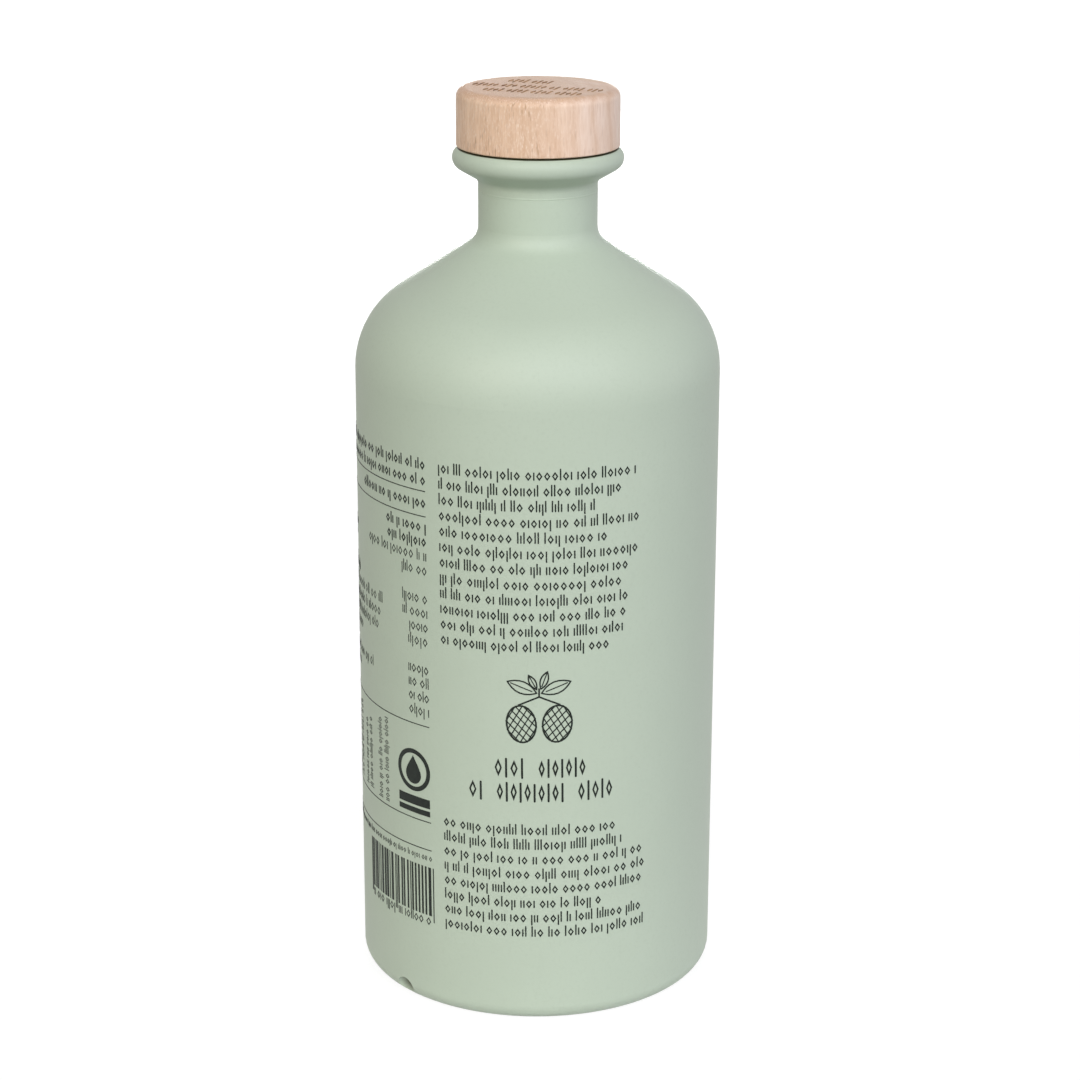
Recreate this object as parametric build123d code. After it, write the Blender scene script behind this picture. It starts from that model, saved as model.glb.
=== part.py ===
from build123d import *
import os
from math import cos, radians, sin, tan

os.makedirs("parts", exist_ok=True)

# A shut apothecary bottle of about half a litre. Millimetres, +Z up, base centre at the
# origin, printed front towards -Y. Radii are measured from the bottle's axis.

# Base and body
BODY_RADIUS = 38.25
HEEL_ROUNDING = 3.57
BASE_RING_INNER_RADIUS = 25.0
PUSH_UP_HEIGHT = 2.0

# Shoulder: one straight cone, rounded into the body below and into the neck above
SHOULDER_CORNER_HEIGHT = 143.98
SHOULDER_SLOPE = 33.37
SHOULDER_ROUNDING = 19.52
NECK_ROOT_ROUNDING = 4.43

# Neck and lip
NECK_RADIUS = 12.37
LIP_RADIUS = 17.72
LIP_TOP_HEIGHT = 179.88
LIP_BEAD_ROUNDING = 2.37
LIP_UNDERSIDE_SLOPE = 30.5
LIP_ROOT_ROUNDING = 1.64

# Fine line that the two mould halves of the neck ring leave
SEAM_HEIGHT = 170.82
SEAM_PROUD = 0.05
SEAM_ROUNDING = 0.35

# Half-moon dimple in the heel, by which the printing machine turns the bottle to its mark
NOTCH_TURN = -47.5
NOTCH_HALF_WIDTH = 2.7
NOTCH_CENTRE_HEIGHT = 1.6
NOTCH_DEPTH = 2.05

# Wooden head of the stopper, resting on the lip
HEAD_FOOT_RADIUS = 16.87
HEAD_TOP_RADIUS = 16.78
HEAD_HEIGHT = 11.98
HEAD_FOOT_ROUNDING = 0.35
HEAD_TOP_ROUNDING = 1.91


def lip_bead_centre():
    """Centre, as radius and height, of the round that forms the lip's edge."""
    return LIP_RADIUS - LIP_BEAD_ROUNDING, LIP_TOP_HEIGHT - LIP_BEAD_ROUNDING


def lip_bead_point(angle):
    """Point on the lip's round edge, with the angle in degrees above the horizontal."""
    radius, height = lip_bead_centre()
    return (
        radius + LIP_BEAD_ROUNDING * cos(radians(angle)),
        height + LIP_BEAD_ROUNDING * sin(radians(angle)),
    )


def glass_outline():
    """Half section of the closed bottle in the XZ plane, from the base ring up to the lip."""
    shoulder_run = BODY_RADIUS - NECK_RADIUS
    neck_root_height = SHOULDER_CORNER_HEIGHT + shoulder_run * tan(radians(SHOULDER_SLOPE))
    bead_start = lip_bead_point(LIP_UNDERSIDE_SLOPE - 90)
    bead_middle = lip_bead_point(LIP_UNDERSIDE_SLOPE / 2)
    bead_end = lip_bead_point(90)
    lip_run = bead_start[0] - NECK_RADIUS
    lip_root_height = bead_start[1] - lip_run * tan(radians(LIP_UNDERSIDE_SLOPE))
    wall = FilletPolyline(
        (BASE_RING_INNER_RADIUS, 0),
        (BODY_RADIUS, 0),
        (BODY_RADIUS, SHOULDER_CORNER_HEIGHT),
        (NECK_RADIUS, neck_root_height),
        (NECK_RADIUS, lip_root_height),
        bead_start,
        radius=[HEEL_ROUNDING, SHOULDER_ROUNDING, NECK_ROOT_ROUNDING, LIP_ROOT_ROUNDING],
    )
    bead = ThreePointArc(bead_start, bead_middle, bead_end)
    mouth = Line(bead_end, (0, LIP_TOP_HEIGHT))
    axis = Line((0, LIP_TOP_HEIGHT), (0, PUSH_UP_HEIGHT))
    push_up = TangentArc((0, PUSH_UP_HEIGHT), (BASE_RING_INNER_RADIUS, 0), tangent=(1, 0))
    return Plane.XZ * make_face([*wall.edges(), bead, mouth, axis, push_up])


def seam_ring():
    """Rounded line around the neck that stands slightly proud of it."""
    middle_radius = NECK_RADIUS + SEAM_PROUD - SEAM_ROUNDING
    return Pos(0, 0, SEAM_HEIGHT) * Torus(middle_radius, SEAM_ROUNDING)


def heel_notch():
    """Ball that bites the half-moon out of the heel."""
    ball_radius = (NOTCH_HALF_WIDTH**2 + NOTCH_DEPTH**2) / (2 * NOTCH_DEPTH)
    ball_distance = BODY_RADIUS - NOTCH_DEPTH + ball_radius
    return Rot(0, 0, NOTCH_TURN) * Pos(0, -ball_distance, NOTCH_CENTRE_HEIGHT) * Sphere(ball_radius)


def bottle():
    """The filled, closed glass body with its lip, as one solid."""
    glass = revolve(glass_outline(), axis=Axis.Z)
    return glass + seam_ring() - heel_notch()


def stopper_head():
    """Turned wooden disc with a rounded rim, closing the mouth."""
    top_height = LIP_TOP_HEIGHT + HEAD_HEIGHT
    side = FilletPolyline(
        (0, LIP_TOP_HEIGHT),
        (HEAD_FOOT_RADIUS, LIP_TOP_HEIGHT),
        (HEAD_TOP_RADIUS, top_height),
        (0, top_height),
        radius=[HEAD_FOOT_ROUNDING, HEAD_TOP_ROUNDING],
    )
    axis = Line((0, top_height), (0, LIP_TOP_HEIGHT))
    return revolve(Plane.XZ * make_face([*side.edges(), axis]), axis=Axis.Z)


export_step(bottle(), "parts/bottle.step")
export_step(stopper_head(), "parts/stopper_head.step")
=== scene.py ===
import math
import random

import bmesh
import bpy
from mathutils import Matrix, Vector


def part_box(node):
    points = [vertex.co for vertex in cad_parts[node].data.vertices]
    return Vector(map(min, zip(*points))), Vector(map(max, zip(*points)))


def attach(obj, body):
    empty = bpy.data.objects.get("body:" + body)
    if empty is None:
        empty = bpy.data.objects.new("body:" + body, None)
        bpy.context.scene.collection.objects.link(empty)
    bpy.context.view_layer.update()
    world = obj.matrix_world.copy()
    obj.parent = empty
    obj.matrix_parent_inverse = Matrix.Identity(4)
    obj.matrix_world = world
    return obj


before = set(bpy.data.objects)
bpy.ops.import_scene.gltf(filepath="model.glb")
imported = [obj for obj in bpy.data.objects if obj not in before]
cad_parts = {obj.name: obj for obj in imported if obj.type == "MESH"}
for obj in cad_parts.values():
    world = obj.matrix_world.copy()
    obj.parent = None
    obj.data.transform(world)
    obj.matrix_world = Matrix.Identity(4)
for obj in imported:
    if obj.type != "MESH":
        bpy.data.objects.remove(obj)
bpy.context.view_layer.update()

# Metres, except where a comment or a heading says millimetres
MM = 0.001

bottle_low, bottle_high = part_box("bottle")
head_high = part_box("stopper_head")[1]
BODY_RADIUS = bottle_high.x
BODY_RADIUS_MM = BODY_RADIUS / MM
LIP_TOP = bottle_high.z
HEAD_TOP = head_high.z


# ---------------------------------------------------------------- shader nodes

def new_material(name):
    """A new material, with its node tree and its Principled shader."""
    material = bpy.data.materials.new(name)
    material.use_nodes = True
    tree = material.node_tree
    return material, tree, tree.nodes["Principled BSDF"]


def feed(tree, socket, value):
    """Links a socket to another one, or sets it to a plain value."""
    if isinstance(value, bpy.types.NodeSocket):
        tree.links.new(value, socket)
    else:
        socket.default_value = value


def add_node(tree, kind, settings=None, inputs=None):
    """Adds a node, sets its own settings, and feeds its inputs by name or number."""
    node = tree.nodes.new(kind)
    for name, value in (settings or {}).items():
        setattr(node, name, value)
    for name, value in (inputs or {}).items():
        feed(tree, node.inputs[name], value)
    return node


def mapped_coordinates(tree, scale=(1, 1, 1), location=(0, 0, 0), rotation=(0, 0, 0), way="POINT"):
    """Object coordinates stretched, turned and shifted; the way TEXTURE undoes that in reverse."""
    source = add_node(tree, "ShaderNodeTexCoord")
    mapping = add_node(tree, "ShaderNodeMapping", {"vector_type": way}, {
        "Vector": source.outputs["Object"],
        "Scale": scale,
        "Location": location,
        "Rotation": rotation,
    })
    return mapping.outputs["Vector"]


def split(tree, vector):
    """The three parts of a vector, by the names X, Y and Z."""
    return add_node(tree, "ShaderNodeSeparateXYZ", inputs={"Vector": vector}).outputs


def noise(tree, vector, scale, detail=2):
    """Smooth noise with its values around a half."""
    node = add_node(tree, "ShaderNodeTexNoise", inputs={
        "Vector": vector,
        "Scale": scale,
        "Detail": detail,
    })
    return node.outputs["Fac"]


def remap(tree, value, source, target=(0, 1)):
    """A value moved from one range to another and held inside it."""
    node = add_node(tree, "ShaderNodeMapRange", {"clamp": True}, {
        "Value": value,
        "From Min": source[0],
        "From Max": source[1],
        "To Min": target[0],
        "To Max": target[1],
    })
    return node.outputs["Result"]


def blend_colours(tree, factor, first, second):
    """Two colours mixed by a factor."""
    node = add_node(tree, "ShaderNodeMix", {"data_type": "RGBA"})
    for name, value in (("Factor_Float", factor), ("A_Color", first), ("B_Color", second)):
        feed(tree, next(socket for socket in node.inputs if socket.identifier == name), value)
    return next(socket for socket in node.outputs if socket.identifier == "Result_Color")


def arithmetic(tree, operation, first, second=0.0):
    """The result of one operation on two values."""
    node = add_node(tree, "ShaderNodeMath", {"operation": operation}, {0: first, 1: second})
    return node.outputs["Value"]


def bump(tree, height, distance):
    """A normal that shows a height as relief, with its depth in metres."""
    node = add_node(tree, "ShaderNodeBump", inputs={"Height": height, "Distance": distance})
    return node.outputs["Normal"]


def make_mottle():
    """Group that blends two colours in soft uneven patches and gives the patches as a mask."""
    group = bpy.data.node_groups.new("mottle", "ShaderNodeTree")
    for name, kind, value in (
        ("Vector", "NodeSocketVector", (0, 0, 0)),
        ("Scale", "NodeSocketFloat", 100.0),
        ("Detail", "NodeSocketFloat", 2.0),
        ("Low", "NodeSocketFloat", 0.3),
        ("High", "NodeSocketFloat", 0.7),
        ("First", "NodeSocketColor", (0, 0, 0, 1)),
        ("Second", "NodeSocketColor", (1, 1, 1, 1)),
    ):
        group.interface.new_socket(name, in_out="INPUT", socket_type=kind).default_value = value
    group.interface.new_socket("Color", in_out="OUTPUT", socket_type="NodeSocketColor")
    group.interface.new_socket("Mask", in_out="OUTPUT", socket_type="NodeSocketFloat")
    given = add_node(group, "NodeGroupInput").outputs
    patches = noise(group, given["Vector"], given["Scale"], given["Detail"])
    mask = remap(group, patches, (given["Low"], given["High"]))
    colour = blend_colours(group, mask, given["First"], given["Second"])
    add_node(group, "NodeGroupOutput", inputs={"Color": colour, "Mask": mask})
    return group


def mottle(tree, vector, scale, first, second, detail=2, edge=(0.3, 0.7)):
    """Places the mottle group and returns its outputs; patches blend over the edge's values."""
    return add_node(tree, "ShaderNodeGroup", {"node_tree": MOTTLE}, {
        "Vector": vector,
        "Scale": scale,
        "Detail": detail,
        "Low": edge[0],
        "High": edge[1],
        "First": first,
        "Second": second,
    }).outputs


# ---------------------------------------------------------------- the sprayed coat

COAT_COLOUR = (0.526, 0.620, 0.504, 1)
COAT_THIN = (0.512, 0.606, 0.490, 1)
COAT_SPECK = (0.503, 0.596, 0.481, 1)
COAT_CLOUD_SCALE = 45
COAT_SPECK_SCALE = 1500
COAT_RELIEF = 0.006 * MM
COAT_ROUGHNESS = (0.46, 0.53)
COAT_IOR = 1.46

# A dark band of painted shade at the mouth's rim, for the gap under the stopper head; it fades in
# between these heights
GAP_SHADE_COLOUR = (0.030, 0.031, 0.010, 1)
GAP_SHADE_HEIGHTS = (LIP_TOP - 0.42 * MM, LIP_TOP - 0.36 * MM)

# The heel notch, in degrees and millimetres, is bitten out by a ball. Coat within a few hundredths
# of the ball is in the notch, and shade is painted into it, darkest round the pit
NOTCH_SHADE = (0.085, 0.095, 0.060, 1)
NOTCH_TURN = -47.5
NOTCH_HALF_WIDTH = 2.7
NOTCH_HEIGHT = 1.6
NOTCH_DEPTH = 2.05
NOTCH_BALL_RADIUS = (NOTCH_HALF_WIDTH**2 + NOTCH_DEPTH**2) / (2 * NOTCH_DEPTH)
NOTCH_FACE = (NOTCH_BALL_RADIUS + 0.06, NOTCH_BALL_RADIUS + 0.03)
PIT_INSIDE_WALL = 1.7
PIT_ALONG = -0.1
PIT_HEIGHT = 2.6
PIT_REACH = (0.8, 2.4)
PIT_SHADE = 0.95


def notch_point(inside_wall, along, height):
    """A place in the heel notch, from millimetres inside the wall, round the body and up."""
    out = BODY_RADIUS_MM - inside_wall
    place = Matrix.Rotation(math.radians(NOTCH_TURN), 4, "Z") @ Vector((along, -out, height))
    return place * MM


def distance_to(tree, vector, point):
    """Distance from a point, in millimetres."""
    gap = add_node(tree, "ShaderNodeVectorMath", {"operation": "DISTANCE"}, {0: vector, 1: point})
    return arithmetic(tree, "DIVIDE", gap.outputs["Value"], MM)


def notch_shade(tree, place):
    """How much painted shade darkens the coat: nearly all in the notch's pit, none outside it."""
    ball = notch_point(NOTCH_DEPTH - NOTCH_BALL_RADIUS, 0, NOTCH_HEIGHT)
    pit = notch_point(PIT_INSIDE_WALL, PIT_ALONG, PIT_HEIGHT)
    in_notch = remap(tree, distance_to(tree, place, ball), NOTCH_FACE)
    in_pit = remap(tree, distance_to(tree, place, pit), PIT_REACH, (PIT_SHADE, 0))
    return arithmetic(tree, "MULTIPLY", in_notch, in_pit)


def coat_material():
    """Matt sage spray coat, with painted shade in the heel notch and in a dark band at the mouth's
    rim.
    """
    material, tree, shader = new_material("sage_coat")
    place = mapped_coordinates(tree)
    cloud = mottle(tree, place, COAT_CLOUD_SCALE, COAT_THIN, COAT_COLOUR, detail=3)
    speckle = mottle(tree, place, COAT_SPECK_SCALE, cloud["Color"], COAT_SPECK, edge=(0.5, 0.75))
    # Painted shade: a dark band at the mouth's rim, where the stopper head overhangs the lip
    rim = remap(tree, split(tree, place)["Z"], GAP_SHADE_HEIGHTS)
    colour = blend_colours(tree, rim, speckle["Color"], GAP_SHADE_COLOUR)
    # Painted shade in the heel notch, darkest round its pit where the rim keeps light out
    colour = blend_colours(tree, notch_shade(tree, place), colour, NOTCH_SHADE)
    feed(tree, shader.inputs["Base Color"], colour)
    feed(tree, shader.inputs["Roughness"], remap(tree, cloud["Mask"], (0, 1), COAT_ROUGHNESS))
    feed(tree, shader.inputs["Normal"], bump(tree, speckle["Mask"], COAT_RELIEF))
    shader.inputs["IOR"].default_value = COAT_IOR
    return material


# ---------------------------------------------------------------- beech

BEECH_PALE = (0.925, 0.675, 0.490, 1)
BEECH_WARM = (0.690, 0.440, 0.275, 1)
BEECH_PINK = (0.930, 0.745, 0.620, 1)
BEECH_TOP = (0.600, 0.395, 0.290, 1)
BEECH_HEART = (0.720, 0.510, 0.360, 1)
BEECH_RAY = (0.930, 0.760, 0.640, 1)
BEECH_SCORCHED = (0.700, 0.390, 0.260, 1)
BEECH_FLECK = (0.400, 0.210, 0.110, 1)
BEECH_ROUGHNESS = (0.50, 0.66)
BEECH_RELIEF = 0.04 * MM

# Places across the head where its tones change
PALE_TO_PINK = (-2 * MM, 10 * MM)
HEART_PLACE = -2 * MM
HEART_REACH = (1 * MM, 10.5 * MM)
SCORCH_REACH = (-1 * MM, -12 * MM)
TONE_DRIFT = 2 * MM

# The top's own tones take over between these heights, and its grain runs in this direction
TOP_EDGE = (HEAD_TOP - 1.3 * MM, HEAD_TOP - 0.3 * MM)
TOP_GRAIN = math.radians(-50)
TOP_GRAIN_STRETCH = 9

# How much of the wood each tint may cover
HEART_TINT = 0.67
RING_TINT = 0.28
PATCH_TINT = 0.18
TOP_TINT = 0.5
SCORCH_TINT = 0.35
GRAIN_TINT = 0.75
CALM_TINT = 0.6

# Scales of the patterns, from broad to fine, and the shares that draw them out upwards
RING_SCALE = 105
PATCH_SCALE = 120
DRIFT_SCALE = 140
GRAIN_SCALE = 800
FIBRE_SCALE = 2600
FLECK_SCALE = 2700
PORE_SCALE = 4200
RING_UPRIGHT = 0.6
DRIFT_UPRIGHT = 0.3
FIBRE_UPRIGHT = 0.10
FLECK_UPRIGHT = 0.13
PORE_UPRIGHT = 0.30

# The rings' heart lies this far behind and to the left of the axis, and leans by these radians
RING_HEART = (0.024, 0.017, 0)
RING_LEAN = (0.12, 0.07, 0)
FLECK_SHIFT = (0.003, 0.001, 0.004)


def tinted(tree, mask, amount, wood, tint):
    """The wood with a tint laid over it, by a mask from 0 to 1 and the most that it may cover."""
    return blend_colours(tree, arithmetic(tree, "MULTIPLY", mask, amount), wood, tint)


def upright(tree, share, location=(0, 0, 0)):
    """Object coordinates that draw a pattern out upwards, as fibres run."""
    return mapped_coordinates(tree, (1, 1, share), location)


def growth_rings(tree):
    """Growth rings round a heart that lies beside the stopper and leans."""
    place = mapped_coordinates(tree, (1, 1, RING_UPRIGHT), RING_HEART, RING_LEAN)
    return add_node(tree, "ShaderNodeTexWave", {"wave_type": "RINGS", "rings_direction": "Z"}, {
        "Vector": place,
        "Scale": RING_SCALE,
        "Distortion": 4.0,
        "Detail": 2,
        "Detail Scale": 0.7,
    }).outputs["Fac"]


def beech_tones(tree, across, pink, patches):
    """Broad tones: pale at the left, pink at the right, a darker heart, rings and patches."""
    wood = blend_colours(tree, pink, BEECH_PALE, BEECH_PINK)
    off_heart = arithmetic(tree, "ABSOLUTE", arithmetic(tree, "SUBTRACT", across, HEART_PLACE))
    wood = tinted(tree, remap(tree, off_heart, HEART_REACH, (1, 0)), HEART_TINT, wood, BEECH_HEART)
    rings = growth_rings(tree)
    wood = tinted(tree, remap(tree, rings, (0.2, 1)), RING_TINT, wood, BEECH_WARM)
    ring_lines = remap(tree, rings, (0.9, 1))
    ring_lines = arithmetic(tree, "MULTIPLY", ring_lines, remap(tree, pink, (0, 1), (0.2, 1)))
    wood = tinted(tree, ring_lines, RING_TINT, wood, BEECH_WARM)
    return tinted(tree, patches, PATCH_TINT, wood, BEECH_WARM)


def beech_top_tones(tree, across, height, wood):
    """The wood's tones on its top: darker, scorched at the left, with grain lines across."""
    top = remap(tree, height, TOP_EDGE)
    wood = tinted(tree, top, TOP_TINT, wood, BEECH_TOP)
    scorch = arithmetic(tree, "MULTIPLY", top, remap(tree, across, SCORCH_REACH))
    wood = tinted(tree, scorch, SCORCH_TINT, wood, BEECH_SCORCHED)
    stretch = (TOP_GRAIN_STRETCH, 1, 1)
    place = mapped_coordinates(tree, stretch, rotation=(0, 0, TOP_GRAIN), way="TEXTURE")
    grain = remap(tree, noise(tree, place, GRAIN_SCALE), (0.42, 0.66))
    grain = arithmetic(tree, "MULTIPLY", top, grain)
    return tinted(tree, grain, GRAIN_TINT, wood, BEECH_WARM)


def beech_flecks(tree, pink, patches):
    """Short dark flecks, thick in the patches and thinner towards the pink side."""
    place = upright(tree, FLECK_UPRIGHT, FLECK_SHIFT)
    flecks = remap(tree, noise(tree, place, FLECK_SCALE, detail=1), (0.62, 0.74))
    where = arithmetic(tree, "MULTIPLY", remap(tree, pink, (0, 1), (0.85, 0.25)), patches)
    return arithmetic(tree, "MULTIPLY", flecks, remap(tree, where, (0, 1), (0.15, 0.85)))


def beech_material():
    """Sanded beech with fine upright fibres, short dark flecks and faint growth rings."""
    material, tree, shader = new_material("beech")
    place = mapped_coordinates(tree)
    parts = split(tree, place)
    uneven = noise(tree, upright(tree, DRIFT_UPRIGHT), DRIFT_SCALE)
    drift = remap(tree, uneven, (0.3, 0.7), (-TONE_DRIFT, TONE_DRIFT))
    across = arithmetic(tree, "ADD", parts["X"], drift)
    pink = remap(tree, across, PALE_TO_PINK)
    patches = remap(tree, noise(tree, place, PATCH_SCALE), (0.38, 0.62))
    wood = beech_tones(tree, across, pink, patches)
    wood = beech_top_tones(tree, across, parts["Z"], wood)
    place = upright(tree, PORE_UPRIGHT)
    pores = mottle(tree, place, PORE_SCALE, wood, BEECH_RAY, detail=1, edge=(0.50, 0.80))
    place = upright(tree, FIBRE_UPRIGHT)
    fibre = mottle(tree, place, FIBRE_SCALE, pores["Color"], BEECH_WARM, detail=3, edge=(0.42, 0.85))
    flecks = beech_flecks(tree, pink, patches)
    calm = tinted(tree, pink, CALM_TINT, fibre["Color"], wood)
    feed(tree, shader.inputs["Base Color"], blend_colours(tree, flecks, calm, BEECH_FLECK))
    feed(tree, shader.inputs["Roughness"], remap(tree, fibre["Mask"], (0, 1), BEECH_ROUGHNESS))
    relief = arithmetic(tree, "SUBTRACT", arithmetic(tree, "MULTIPLY", fibre["Mask"], -0.4), flecks)
    feed(tree, shader.inputs["Normal"], bump(tree, relief, BEECH_RELIEF))
    return material


# ---------------------------------------------------------------- ink and burnt wood

INK_COLOUR = (0.009, 0.013, 0.010, 1)
INK_WORN = (0.020, 0.027, 0.021, 1)
INK_SCALE = 900
INK_ROUGHNESS = (0.48, 0.60)
INK_SHINE = 0.22


def ink_material():
    """Dark green-black printed ink with slight changes of density."""
    material, tree, shader = new_material("print_ink")
    place = mapped_coordinates(tree)
    density = mottle(tree, place, INK_SCALE, INK_COLOUR, INK_WORN, detail=3, edge=(0.35, 0.7))
    feed(tree, shader.inputs["Base Color"], density["Color"])
    feed(tree, shader.inputs["Roughness"], remap(tree, density["Mask"], (0, 1), INK_ROUGHNESS))
    shader.inputs["Specular IOR Level"].default_value = INK_SHINE
    return material


BURNT = (0.140, 0.056, 0.020, 1)
BURNT_PALE = (0.560, 0.310, 0.150, 1)
BURNT_FADED = (0.500, 0.290, 0.150, 1)
BURNT_SCALE = 620
BURNT_ROUGHNESS = (0.85, 0.70)
BURNT_SHINE = 0.1
FADE_REACH = (-4 * MM, 14 * MM)
FADE_MOST = 0.5


def burnt_material():
    """Brown marks that a hot die leaves in the wood, uneven and fainter towards the right."""
    material, tree, shader = new_material("burnt_wood")
    place = mapped_coordinates(tree)
    char = mottle(tree, place, BURNT_SCALE, BURNT, BURNT_PALE, detail=3, edge=(0.36, 0.60))
    fade = remap(tree, split(tree, place)["X"], FADE_REACH, (0, FADE_MOST))
    feed(tree, shader.inputs["Base Color"], blend_colours(tree, fade, char["Color"], BURNT_FADED))
    feed(tree, shader.inputs["Roughness"], remap(tree, char["Mask"], (0, 1), BURNT_ROUGHNESS))
    shader.inputs["Specular IOR Level"].default_value = BURNT_SHINE
    return material


# ---------------------------------------------------------------- flat shapes, in millimetres

STROKE_SIDES = 8
LEAF_SIDES = 20
OLIVE_SIDES = 28
DROP_SIDES = 24


def place_at(x, y, turn=0.0):
    """Where a flat shape goes: a shift, and a turn in degrees."""
    return Matrix.Translation((x, y, 0)) @ Matrix.Rotation(math.radians(turn), 4, "Z")


def add_stroke(bm, start, end, width, place=None):
    """A straight stroke with round ends."""
    start, end = Vector((*start, 0)), Vector((*end, 0))
    run = end - start
    half_side = Matrix.Rotation(math.pi / STROKE_SIDES, 4, "Z")
    made = bmesh.ops.create_circle(
        bm, cap_ends=True, segments=STROKE_SIDES, radius=width / 2, matrix=half_side
    )["verts"]
    for vert in made:
        vert.co.x += math.copysign(run.length / 2, vert.co.x)
    lay = Matrix.Translation((start + end) / 2) @ Matrix.Rotation(math.atan2(run.y, run.x), 4, "Z")
    bmesh.ops.transform(bm, matrix=(place or Matrix()) @ lay, verts=made)


def add_bar(bm, left, right, low, high):
    """A rectangle."""
    size = Matrix.Diagonal((right - left, high - low, 1, 1))
    lay = Matrix.Translation(((left + right) / 2, (low + high) / 2, 0)) @ size
    bmesh.ops.create_grid(bm, x_segments=1, y_segments=1, size=0.5, matrix=lay)


def add_outline(bm, made, width):
    """Turns the one face that these vertices bound into an outline of that width."""
    face = made[0].link_faces[0]
    bmesh.ops.inset_region(bm, faces=[face], thickness=width, use_boundary=True, use_even_offset=True)
    bmesh.ops.delete(bm, geom=[face], context="FACES")


def add_lozenge(bm, left, right, low, high, width, place=None):
    """The outline of a tall lozenge."""
    size = Matrix.Diagonal(((right - left) / 2, (high - low) / 2, 1, 1))
    lay = Matrix.Translation(((left + right) / 2, (low + high) / 2, 0)) @ size
    matrix = (place or Matrix()) @ lay
    made = bmesh.ops.create_circle(bm, cap_ends=True, segments=4, radius=1, matrix=matrix)["verts"]
    add_outline(bm, made, width)


# Shares of a band's height, twice, then of its step and of its weight
BAND_FOOT_DRIFT = 0.03
BAND_HEAD_DRIFT = 0.04
BAND_LOZENGE_REACH = 0.46
BAND_LOZENGE_LINE = 0.75


def add_band(bm, draw, left, right, base, height, letter, weight, place=None):
    """A row of tall thin lozenges with strokes between them, drawn a little unevenly."""
    count = round((right - left) / letter)
    step = (right - left) / count
    reach = BAND_LOZENGE_REACH * step
    for number in range(count):
        x = left + (number + 0.5) * step
        low = base + height * draw.uniform(-BAND_FOOT_DRIFT, BAND_FOOT_DRIFT)
        high = base + height * draw.uniform(1 - BAND_HEAD_DRIFT, 1 + BAND_HEAD_DRIFT)
        if number % 2:
            add_stroke(bm, (x, low), (x, high), weight, place)
        else:
            add_lozenge(bm, x - reach, x + reach, low, high, BAND_LOZENGE_LINE * weight, place)


# Shares of a leaf's length, twice, then of its line
RIB_START = 0.18
RIB_END = 0.86
RIB_LINE = 0.8


def add_leaf(bm, length, width, place, line):
    """The outline of a leaf with its rib, lying along x from its stalk, pointed at both ends."""
    made = bmesh.ops.create_circle(bm, cap_ends=True, segments=LEAF_SIDES, radius=1)["verts"]
    for vert in made:
        along, across = vert.co.x, vert.co.y
        vert.co = Vector((length / 2 * (1 + along), width / 2 * across * abs(across), 0))
    bmesh.ops.transform(bm, matrix=place, verts=made)
    add_outline(bm, made, line)
    add_stroke(bm, (RIB_START * length, 0), (RIB_END * length, 0), RIB_LINE * line, place)


# Degrees, then shares of an olive's half chord and of its line
HATCH_TURNS = (45, -45)
HATCH_REACH = 0.93
HATCH_LINE = 0.7


def add_olive(bm, long, wide, place, line, hatches):
    """The outline of an olive filled with crossed lines."""
    lay = place @ Matrix.Diagonal((long / 2, wide / 2, 1, 1))
    made = bmesh.ops.create_circle(bm, cap_ends=True, segments=OLIVE_SIDES, radius=1, matrix=lay)
    add_outline(bm, made["verts"], line)
    for turn in HATCH_TURNS:
        lean = Matrix.Rotation(math.radians(turn), 4, "Z")
        for number in range(hatches):
            off = 2 * (number + 0.5) / hatches - 1
            reach = HATCH_REACH * math.sqrt(1 - off * off)
            start, end = (lay @ lean @ Vector((side * reach, off, 0)) for side in (-1, 1))
            add_stroke(bm, start.xy, end.xy, HATCH_LINE * line)


# How much taller than a half round the drop's upper half is, and how it narrows with height
DROP_TALLER = 0.9
DROP_SLOPE = 0.55
DROP_TIP = 0.45


def add_drop(bm, radius, place):
    """A solid oil drop: a round whose upper half narrows to a point."""
    made = bmesh.ops.create_circle(bm, cap_ends=True, segments=DROP_SIDES, radius=radius)["verts"]
    for vert in made:
        rise = max(0.0, vert.co.y / radius)
        vert.co.x *= 1 - rise**2 * DROP_SLOPE - rise**6 * DROP_TIP
        vert.co.y *= 1 + DROP_TALLER * rise
    bmesh.ops.transform(bm, matrix=place, verts=made)


# Shares of a row's height, apart from the lozenge's line, which is a share of the stroke's weight
LOZENGE_WIDTH = 0.74
LOZENGE_LINE = 0.85
LOZENGE_PAST_ROW = 0.04
HUNG_BELOW = 0.40
TALL_ABOVE = 0.42
MARK_GAP = 0.17
WORD_GAP = 0.42

# One is drawn for each word and each mark, so what is here more often comes more often
WORD_LENGTHS = (2, 3, 3, 4, 4, 5, 5, 6, 7, 8)
MARK_KINDS = (
    "lozenge", "lozenge", "lozenge", "lozenge",
    "post", "post", "post",
    "tall", "tall",
    "hung",
)


def row_marks(draw, length, height, weight):
    """Kinds and places of a row's marks, grouped like words and spread over the whole length."""
    marks = []
    at = 0
    left_in_word = draw.choice(WORD_LENGTHS)
    while at < length:
        kind = draw.choice(MARK_KINDS)
        wide = LOZENGE_WIDTH * height if kind == "lozenge" else weight
        marks.append((kind, at + wide / 2))
        end = at + wide
        at = end + MARK_GAP * height
        left_in_word -= 1
        if not left_in_word:
            left_in_word = draw.choice(WORD_LENGTHS)
            at += WORD_GAP * height
    return [(kind, x * length / end) for kind, x in marks]


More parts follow.
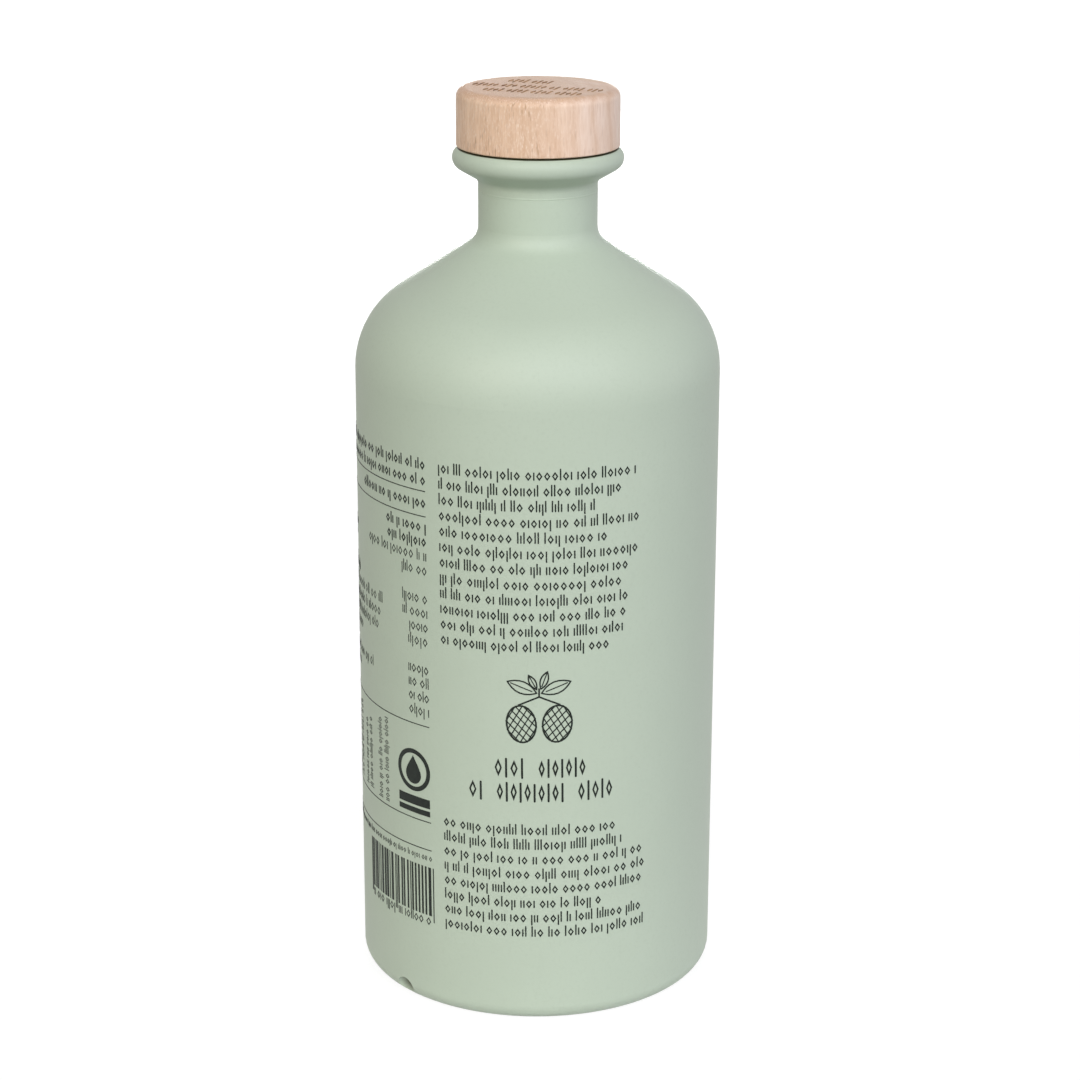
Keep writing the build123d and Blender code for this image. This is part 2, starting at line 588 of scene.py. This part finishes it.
def add_text_row(bm, draw, left, right, base, height, weight, place=None):
    """A row of small lozenges and upright strokes, grouped like words."""
    reach = LOZENGE_WIDTH * height / 2
    past = LOZENGE_PAST_ROW * height
    line = LOZENGE_LINE * weight
    for kind, x in row_marks(draw, right - left, height, weight):
        x += left
        if kind == "lozenge":
            add_lozenge(bm, x - reach, x + reach, base - past, base + height + past, line, place)
        else:
            foot = base + weight / 2 - (HUNG_BELOW * height if kind == "hung" else 0)
            head = base + height - weight / 2 + (TALL_ABOVE * height if kind == "tall" else 0)
            add_stroke(bm, (x, foot), (x, head), weight, place)


# ---------------------------------------------------------------- wrapping and finishing

# Millimetres that the ink stands out of the coat and reaches into it
INK_PROUD = 0.035
INK_SUNK = 0.06

# The print sits a little askew: it shifts left by this share of its height above the middle
PRINT_LEAN = 0.0092
PRINT_MIDDLE = 70.0

# The widest strip that stays flat, and how near to a corner a cut counts as through it
BEND_STRIP = 1.7
CUT_TOLERANCE = 1e-5


def finish_piece(bm, name, material):
    """Makes the bmesh a piece that rides on the bottle."""
    bm.normal_update()
    bmesh.ops.recalc_face_normals(bm, faces=bm.faces)
    mesh = bpy.data.meshes.new(name)
    bm.to_mesh(mesh)
    bm.free()
    mesh.materials.append(material)
    piece = bpy.data.objects.new(name, mesh)
    bpy.context.scene.collection.objects.link(piece)
    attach(piece, "root")


def thicken(bm, depth):
    """Gives flat shapes a thickness, from their plane down."""
    bm.normal_update()
    for face in bm.faces:
        if face.normal.z < 0:
            face.normal_flip()
    bmesh.ops.solidify(bm, geom=bm.faces[:], thickness=depth)


def cut_for_bend(bm):
    """Cuts wide flat shapes into upright strips, so that they can follow the round wall."""
    left = min(vert.co.x for vert in bm.verts)
    right = max(vert.co.x for vert in bm.verts)
    for number in range(1, math.ceil((right - left) / BEND_STRIP)):
        where = (left + number * BEND_STRIP, 0, 0)
        bmesh.ops.bisect_plane(
            bm, geom=[*bm.verts, *bm.edges, *bm.faces],
            dist=CUT_TOLERANCE, plane_co=where, plane_no=(1, 0, 0),
        )


def wrap_print(bm, name):
    """Bends flat print, in millimetres round the front and up from the base, onto the body."""
    cut_for_bend(bm)
    thicken(bm, INK_PROUD + INK_SUNK)
    for vert in bm.verts:
        across = vert.co.x + PRINT_LEAN * (PRINT_MIDDLE - vert.co.y)
        turn = across / BODY_RADIUS_MM
        radius = BODY_RADIUS_MM + INK_PROUD + vert.co.z
        vert.co = Vector((radius * math.sin(turn), -radius * math.cos(turn), vert.co.y)) * MM
    finish_piece(bm, name, INK)


# ---------------------------------------------------------------- the print

# Millimetres: across from the front's middle, and up from the base
LINE_PITCH = 3.295
X_HEIGHT = 1.72
TEXT_WEIGHT = 0.32
TEXT_LEFT = -20.5
UPPER_BASE = 119.36
UPPER_LENGTHS = (41.7, 38.3, 32.6, 42.5, 35.2, 42.2, 39.9, 38.4, 39.9, 39.4, 38.8, 35.6)
LOWER_BASE = 42.92
LOWER_LENGTHS = (37.1, 38.6, 43.6, 44.3, 43.5, 33.9, 43.4, 44.1)


def print_paragraph(name, first_base, lengths, seed):
    """A block of text-like rows with a straight left edge."""
    bm = bmesh.new()
    draw = random.Random(seed)
    for row, length in enumerate(lengths):
        base = first_base - row * LINE_PITCH
        add_text_row(bm, draw, TEXT_LEFT, TEXT_LEFT + length, base, X_HEIGHT, TEXT_WEIGHT)
    wrap_print(bm, name)


PANEL_LEFT = -76.0
PANEL_RIGHT = -23.8
RULE_HEIGHTS = (114.83, 109.49, 63.94, 42.55, 36.23)
RULE_WEIGHT = 0.20
BOLD_WEIGHT = 0.33
LIGHT_WEIGHT = 0.23
NAME_WEIGHT = 0.19

# Base and length of each heading, then row and length of the values and the names in the table
HEADINGS = ((UPPER_BASE, 44), (UPPER_BASE - LINE_PITCH, 41), (111.3, 22.5))
TABLE_BASE = 106.17
TABLE_PITCH = 3.082
BOLD_VALUE_ROWS = ((0, 12), (1, 11.7))
VALUE_ROWS = (
    (2, 20), (3, 7), (5, 7), (6, 7), (7, 5), (8, 5.4),
    (10, 5.5), (11, 5.5), (12, 5.5), (13, 5.5),
)
NAME_ROWS = (
    (2, 22), (3, 18), (5, 24), (6, 38), (7, 37), (8, 36),
    (9, 26), (10, 20), (11, 33), (12, 23), (13, 12),
)


def print_panel():
    """The table at the left: headings and rows of values that end at its right, and names."""
    bm = bmesh.new()
    draw = random.Random(11)
    for base, length in HEADINGS:
        add_text_row(bm, draw, PANEL_RIGHT - length, PANEL_RIGHT, base, X_HEIGHT, BOLD_WEIGHT)
    for rows, weight in ((BOLD_VALUE_ROWS, BOLD_WEIGHT), (VALUE_ROWS, LIGHT_WEIGHT)):
        for row, length in rows:
            base = TABLE_BASE - row * TABLE_PITCH
            add_text_row(bm, draw, PANEL_RIGHT - length, PANEL_RIGHT, base, X_HEIGHT, weight)
    for row, length in NAME_ROWS:
        base = TABLE_BASE - row * TABLE_PITCH
        add_text_row(bm, draw, PANEL_LEFT, PANEL_LEFT + length, base, X_HEIGHT, NAME_WEIGHT)
    wrap_print(bm, "print_table")


def print_rules():
    """The long thin rules that divide the left panel."""
    bm = bmesh.new()
    for height in RULE_HEIGHTS:
        add_bar(bm, PANEL_LEFT, PANEL_RIGHT, height - RULE_WEIGHT / 2, height + RULE_WEIGHT / 2)
    wrap_print(bm, "print_rules")


CODE_LEFT = -46.0
CODE_RIGHT = -23.3
CODE_LOW = 21.2
CODE_HIGH = 32.3
CODE_GUARD_LOW = 19.8

# Counted in modules, the width of the thinnest bar
CODE_MODULES = 95
CODE_GUARDS = (0, 2, 46, 48, 92, 94)
CODE_MIDDLE = (44, 50)
CODE_BAR_WIDTHS = (1, 2, 2, 3, 3)
CODE_GAP_WIDTHS = (1, 2, 2, 3)

# Rows of small marks, each with its left, right, base, height and weight: two below, one above
CODE_ROWS = (
    (CODE_LEFT + 1.0, -35.4, 19.0, 1.7, 0.24),
    (-34.0, CODE_RIGHT - 1.0, 19.0, 1.7, 0.24),
    (CODE_LEFT - 20, CODE_RIGHT - 0.4, 33.75, 1.05, 0.16),
)


def print_bar_code():
    """Bars of random widths between longer guard bars, with rows of small marks."""
    bm = bmesh.new()
    draw = random.Random(5)
    module = (CODE_RIGHT - CODE_LEFT) / CODE_MODULES
    at = 0
    while at < CODE_MODULES:
        guard = at in CODE_GUARDS
        thin = guard or CODE_MIDDLE[0] < at < CODE_MIDDLE[1]
        wide = 1 if thin else draw.choice(CODE_BAR_WIDTHS)
        low = CODE_GUARD_LOW if guard else CODE_LOW
        left = CODE_LEFT + at * module
        add_bar(bm, left, left + wide * module, low, CODE_HIGH)
        at += wide + (1 if guard else draw.choice(CODE_GAP_WIDTHS))
        at = next((place for place in CODE_GUARDS if place - 2 < at <= place), at)
    for left, right, base, height, weight in CODE_ROWS:
        add_text_row(bm, draw, left, right, base, height, weight)
    wrap_print(bm, "print_bar_code")


# Base of each row, with the left and right of its words
TITLE_ROWS = (
    (55.8, ((-8.9, -2.3), (0.2, 10.1))),
    (50.4, ((-14.5, -11.0), (-8.5, 5.9), (8.4, 16.0))),
)
TITLE_HEIGHT = 3.9
TITLE_LETTER = 1.5
TITLE_WEIGHT = 0.47


def print_title():
    """Two short rows of tall thin lozenges and strokes."""
    bm = bmesh.new()
    draw = random.Random(3)
    for base, words in TITLE_ROWS:
        for left, right in words:
            add_band(bm, draw, left, right, base, TITLE_HEIGHT, TITLE_LETTER, TITLE_WEIGHT)
    wrap_print(bm, "print_title")


EMBLEM_MIDDLE = (0.5, 70.6)
EMBLEM_LINE = 0.38

# Places from the emblem's middle: across, up, turn in degrees and, for a leaf, its length
STALK_TOP = (0.0, 4.6)
FORK = (0.0, 2.9)
OLIVES = ((-3.7, -3.1, 97), (3.7, -3.0, 83))
OLIVE_LENGTH = 8.4
OLIVE_WIDTH = 6.4
OLIVE_HATCHES = 6
LEAVES = ((0.3, 4.4, 70, 4.4), (-0.3, 3.6, 158, 6.9), (0.3, 3.6, 22, 6.9), (-0.4, 4.3, 118, 3.9))
LEAF_SHAPE = 0.42
LEAF_LINE = 0.8 * EMBLEM_LINE


def print_emblem():
    """A drawn pair of olives hanging from a fork, with leaves above."""
    bm = bmesh.new()
    middle = place_at(*EMBLEM_MIDDLE)
    add_stroke(bm, FORK, STALK_TOP, EMBLEM_LINE, middle)
    for x, y, turn in OLIVES:
        olive = place_at(x, y, turn)
        top = olive @ Vector((OLIVE_LENGTH / 2, 0, 0))
        add_stroke(bm, FORK, top.xy, EMBLEM_LINE, middle)
        add_olive(bm, OLIVE_LENGTH, OLIVE_WIDTH, middle @ olive, EMBLEM_LINE, OLIVE_HATCHES)
    for x, y, turn, length in LEAVES:
        add_leaf(bm, length, LEAF_SHAPE * length, middle @ place_at(x, y, turn), LEAF_LINE)
    wrap_print(bm, "print_emblem")


SEAL_MIDDLE = (-28.5, 53.4)
SEAL_RADIUS = 4.7
SEAL_SIDES = 48
SEAL_LINE = 0.98
SEAL_DROP_RADIUS = 2.2
SEAL_DROP_DOWN = -0.9

# Height and weight of each bar below the seal
SEAL_BARS = ((46.6, 2.0), (44.4, 1.2))
SEAL_BAR_REACH = 4.5

# Rows turned on end: where each stands, its foot and its length
SIDE_ROWS = (
    (-36.7, 43.6, 18.9), (-39.4, 43.6, 18.1),
    (-44.5, 44.0, 16.0), (-47.2, 44.0, 15.0),
    (-52.0, 44.0, 17.5), (-54.7, 44.0, 16.5),
)
SIDE_HEIGHT = 1.35
SIDE_WEIGHT = 0.17


def print_seal():
    """A round seal with an oil drop over two bars, and small rows turned on end beside it."""
    bm = bmesh.new()
    draw = random.Random(8)
    middle = place_at(*SEAL_MIDDLE)
    rim = bmesh.ops.create_circle(
        bm, cap_ends=True, segments=SEAL_SIDES, radius=SEAL_RADIUS, matrix=middle
    )["verts"]
    add_outline(bm, rim, SEAL_LINE)
    add_drop(bm, SEAL_DROP_RADIUS, middle @ place_at(0, SEAL_DROP_DOWN))
    left = SEAL_MIDDLE[0] - SEAL_BAR_REACH
    right = SEAL_MIDDLE[0] + SEAL_BAR_REACH
    for height, weight in SEAL_BARS:
        add_bar(bm, left, right, height - weight / 2, height + weight / 2)
    for across, foot, length in SIDE_ROWS:
        on_end = place_at(across, foot, 90)
        add_text_row(bm, draw, 0, length, 0, SIDE_HEIGHT, SIDE_WEIGHT, on_end)
    wrap_print(bm, "print_seal")


# ---------------------------------------------------------------- the stopper's burnt marks

# The die's rows, in millimetres: the middle of each, along and across their own direction, and
# how many letters its groups have
DIE_TURN = -18.5
DIE_ROWS = (
    (-3.7, 6.0, (4, 4)),
    (0.1, -0.8, (5, 3, 5, 2, 4, 3)),
    (1.0, -6.9, (4, 4, 4, 5)),
)
DIE_HEIGHT = 3.9
DIE_LETTER = 1.12
DIE_SPACE = 0.7
DIE_WEIGHT = 0.56
DIE_PROUD = 0.02
DIE_THICKNESS = 0.2

# Shares of the marks' height between which a group's foot and height are drawn
DIE_FOOT_DRIFT = (-0.57, -0.43)
DIE_HEIGHT_DRIFT = (0.85, 1.08)


def burn_marks():
    """Three rows of burnt lozenges and strokes, in groups, across the top of the stopper head."""
    bm = bmesh.new()
    draw = random.Random(6)
    for along, across, groups in DIE_ROWS:
        row = place_at(0, 0, DIE_TURN) @ place_at(along, across)
        left = -(DIE_LETTER * sum(groups) + DIE_SPACE * (len(groups) - 1)) / 2
        for letters in groups:
            right = left + DIE_LETTER * letters
            low = DIE_HEIGHT * draw.uniform(*DIE_FOOT_DRIFT)
            height = DIE_HEIGHT * draw.uniform(*DIE_HEIGHT_DRIFT)
            add_band(bm, draw, left, right, low, height, DIE_LETTER, DIE_WEIGHT, row)
            left = right + DIE_SPACE
    thicken(bm, DIE_THICKNESS)
    lift = Matrix.Translation((0, 0, HEAD_TOP / MM + DIE_PROUD))
    bmesh.ops.transform(bm, matrix=Matrix.Diagonal((MM, MM, MM, 1)) @ lift, verts=bm.verts)
    finish_piece(bm, "burnt_marks", burnt_material())


# ---------------------------------------------------------------- camera and light

# Distance in front of the axis and height above the base, both in body radii
CAMERA_DISTANCE = 15.017
CAMERA_HEIGHT = 7.242

# Degrees, then millimetres of lens and sensor, then metres
CAMERA_PITCH = 17.591
CAMERA_YAW = 0.060
CAMERA_ROLL = 0.144
CAMERA_LENS = 93.75
CAMERA_SENSOR = 36
CAMERA_CLIP = 0.01


def make_camera():
    """The camera at its standing point, looking down at the bottle."""
    camera = bpy.data.objects.new("camera", bpy.data.cameras.new("camera"))
    bpy.context.scene.collection.objects.link(camera)
    camera.data.lens = CAMERA_LENS
    camera.data.sensor_width = CAMERA_SENSOR
    camera.data.clip_start = CAMERA_CLIP
    standing = Matrix.Translation((0, -CAMERA_DISTANCE * BODY_RADIUS, CAMERA_HEIGHT * BODY_RADIUS))
    yaw = Matrix.Rotation(math.radians(-CAMERA_YAW), 4, "Z")
    pitch = Matrix.Rotation(math.radians(90 - CAMERA_PITCH), 4, "X")
    roll = Matrix.Rotation(math.radians(CAMERA_ROLL), 4, "Z")
    camera.matrix_world = standing @ yaw @ pitch @ roll
    bpy.context.scene.camera = camera


# Each lamp's degrees round from the front and up, its distance, width and height in metres,
# its power in watts and its colour
LAMPS = (
    ("front_left", -32, 28, 2.0, (0.9, 0.9), 13.8, (1.00, 0.89, 0.76)),
    ("front_middle", 5, 35, 2.0, (1.3, 1.3), 20.9, (0.90, 0.95, 1.00)),
    ("front_right", 42, 28, 2.0, (0.9, 0.9), 9.3, (0.94, 0.89, 1.00)),
    ("side_right", 85, 5, 1.6, (1.0, 0.17), 3.0, (1.00, 0.92, 0.96)),
    ("back_right", 120, 15, 2.0, (1.3, 1.3), 1.2, (1, 1, 1)),
    ("back", 180, 3, 1.2, (0.3, 0.17), 6.0, (1, 1, 1)),
    ("back_low", 180, 0, 1.2, (0.3, 0.17), 8.0, (1, 1, 1)),
    ("top", 0, 85, 2.0, (1.3, 1.3), 0.3, (1, 1, 1)),
)
WORLD_STRENGTH = 0.10
WHITE = (1, 1, 1, 1)


def make_lamps():
    """Soft lamps round the bottle, all turned to its middle and out of the camera's sight."""
    aim = Vector((0, 0, (bottle_low.z + head_high.z) / 2))
    for name, azimuth, elevation, distance, size, power, colour in LAMPS:
        turn = math.radians(azimuth)
        rise = math.radians(elevation)
        flat = math.cos(rise)
        away = Vector((math.sin(turn) * flat, -math.cos(turn) * flat, math.sin(rise)))
        lamp = bpy.data.lights.new(name, "AREA")
        lamp.shape = "RECTANGLE"
        lamp.size, lamp.size_y = size
        lamp.energy = power
        lamp.color = colour
        stand = bpy.data.objects.new(name, lamp)
        bpy.context.scene.collection.objects.link(stand)
        stand.visible_camera = False
        facing = away.to_track_quat("Z", "Y").to_matrix().to_4x4()
        stand.matrix_world = Matrix.Translation(aim + away * distance) @ facing


def background_rays(tree, path):
    """One for the rays that meet a white background: the camera's, gloss's and clear glass's."""
    seen = arithmetic(tree, "MAXIMUM", path.outputs["Is Camera Ray"], path.outputs["Is Glossy Ray"])
    return arithmetic(tree, "MAXIMUM", seen, path.outputs["Is Transmission Ray"])


def make_world():
    """Even pale light all round, which the camera and reflections see as white."""
    world = bpy.data.worlds.new("studio")
    bpy.context.scene.world = world
    world.use_nodes = True
    tree = world.node_tree
    background = tree.nodes["Background"]
    path = add_node(tree, "ShaderNodeLightPath")
    background.inputs["Color"].default_value = WHITE
    strength = remap(tree, background_rays(tree, path), (0, 1), (WORLD_STRENGTH, 1))
    feed(tree, background.inputs["Strength"], strength)


# ---------------------------------------------------------------- floor

FLOOR_RADIUS = 6.0
FLOOR_SIDES = 96
FLOOR_ROUGHNESS = 0.9

# The tone that the camera sees, and the tone that throws light back, between two distances
FLOOR_SEEN = 0.85
FLOOR_BOUNCE = (0.60, 0.10)
FLOOR_BOUNCE_REACH = (0.08, 0.40)
FLOOR_UNEVEN = 0.01
FLOOR_UNEVEN_SCALE = 60

# How bright the white is that is laid over the floor, and its share between two distances
FLOOR_GLOW = 1.12
FLOOR_GLOW_SHARE = (0.8, 1.0)
FLOOR_GLOW_REACH = (0.5, 1.2)


def floor_material():
    """Sweep that looks white, keeps the object's shadow, and throws light back only near it."""
    material, tree, shader = new_material("white_sweep")
    path = add_node(tree, "ShaderNodeLightPath")
    place = mapped_coordinates(tree)
    length = add_node(tree, "ShaderNodeVectorMath", {"operation": "LENGTH"}, {0: place})
    distance = length.outputs["Value"]
    bounce = remap(tree, distance, FLOOR_BOUNCE_REACH, FLOOR_BOUNCE)
    lift = arithmetic(tree, "SUBTRACT", FLOOR_SEEN, bounce)
    lift = arithmetic(tree, "MULTIPLY", lift, path.outputs["Is Camera Ray"])
    uneven = noise(tree, place, FLOOR_UNEVEN_SCALE)
    uneven = remap(tree, uneven, (0.3, 0.7), (-FLOOR_UNEVEN, FLOOR_UNEVEN))
    tone = arithmetic(tree, "ADD", arithmetic(tree, "ADD", bounce, lift), uneven)
    grey = add_node(tree, "ShaderNodeCombineColor", inputs={"Red": tone, "Green": tone, "Blue": tone})
    feed(tree, shader.inputs["Base Color"], grey.outputs["Color"])
    shader.inputs["Roughness"].default_value = FLOOR_ROUGHNESS
    glow = add_node(tree, "ShaderNodeEmission", inputs={"Color": WHITE, "Strength": FLOOR_GLOW})
    share = remap(tree, distance, FLOOR_GLOW_REACH, FLOOR_GLOW_SHARE)
    share = arithmetic(tree, "MULTIPLY", background_rays(tree, path), share)
    layers = {0: share, 1: shader.outputs["BSDF"], 2: glow.outputs["Emission"]}
    mix = add_node(tree, "ShaderNodeMixShader", inputs=layers)
    feed(tree, tree.nodes["Material Output"].inputs["Surface"], mix.outputs["Shader"])
    return material


def make_floor():
    """A wide round floor that the bottle stands on."""
    bm = bmesh.new()
    bmesh.ops.create_circle(bm, cap_ends=True, segments=FLOOR_SIDES, radius=FLOOR_RADIUS)
    mesh = bpy.data.meshes.new("floor")
    bm.to_mesh(mesh)
    bm.free()
    mesh.materials.append(floor_material())
    floor = bpy.data.objects.new("floor", mesh)
    bpy.context.scene.collection.objects.link(floor)


# ---------------------------------------------------------------- making it all

def dress(node, material):
    """Gives a CAD node its finish."""
    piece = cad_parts[node]
    piece.data.materials.clear()
    piece.data.materials.append(material)


bpy.context.scene.view_settings.view_transform = "Standard"
make_camera()
MOTTLE = make_mottle()
INK = ink_material()
dress("bottle", coat_material())
dress("stopper_head", beech_material())
print_paragraph("print_upper_text", UPPER_BASE, UPPER_LENGTHS, seed=1)
print_paragraph("print_lower_text", LOWER_BASE, LOWER_LENGTHS, seed=2)
print_panel()
print_rules()
print_bar_code()
print_title()
print_emblem()
print_seal()
burn_marks()
make_floor()
make_lamps()
make_world()
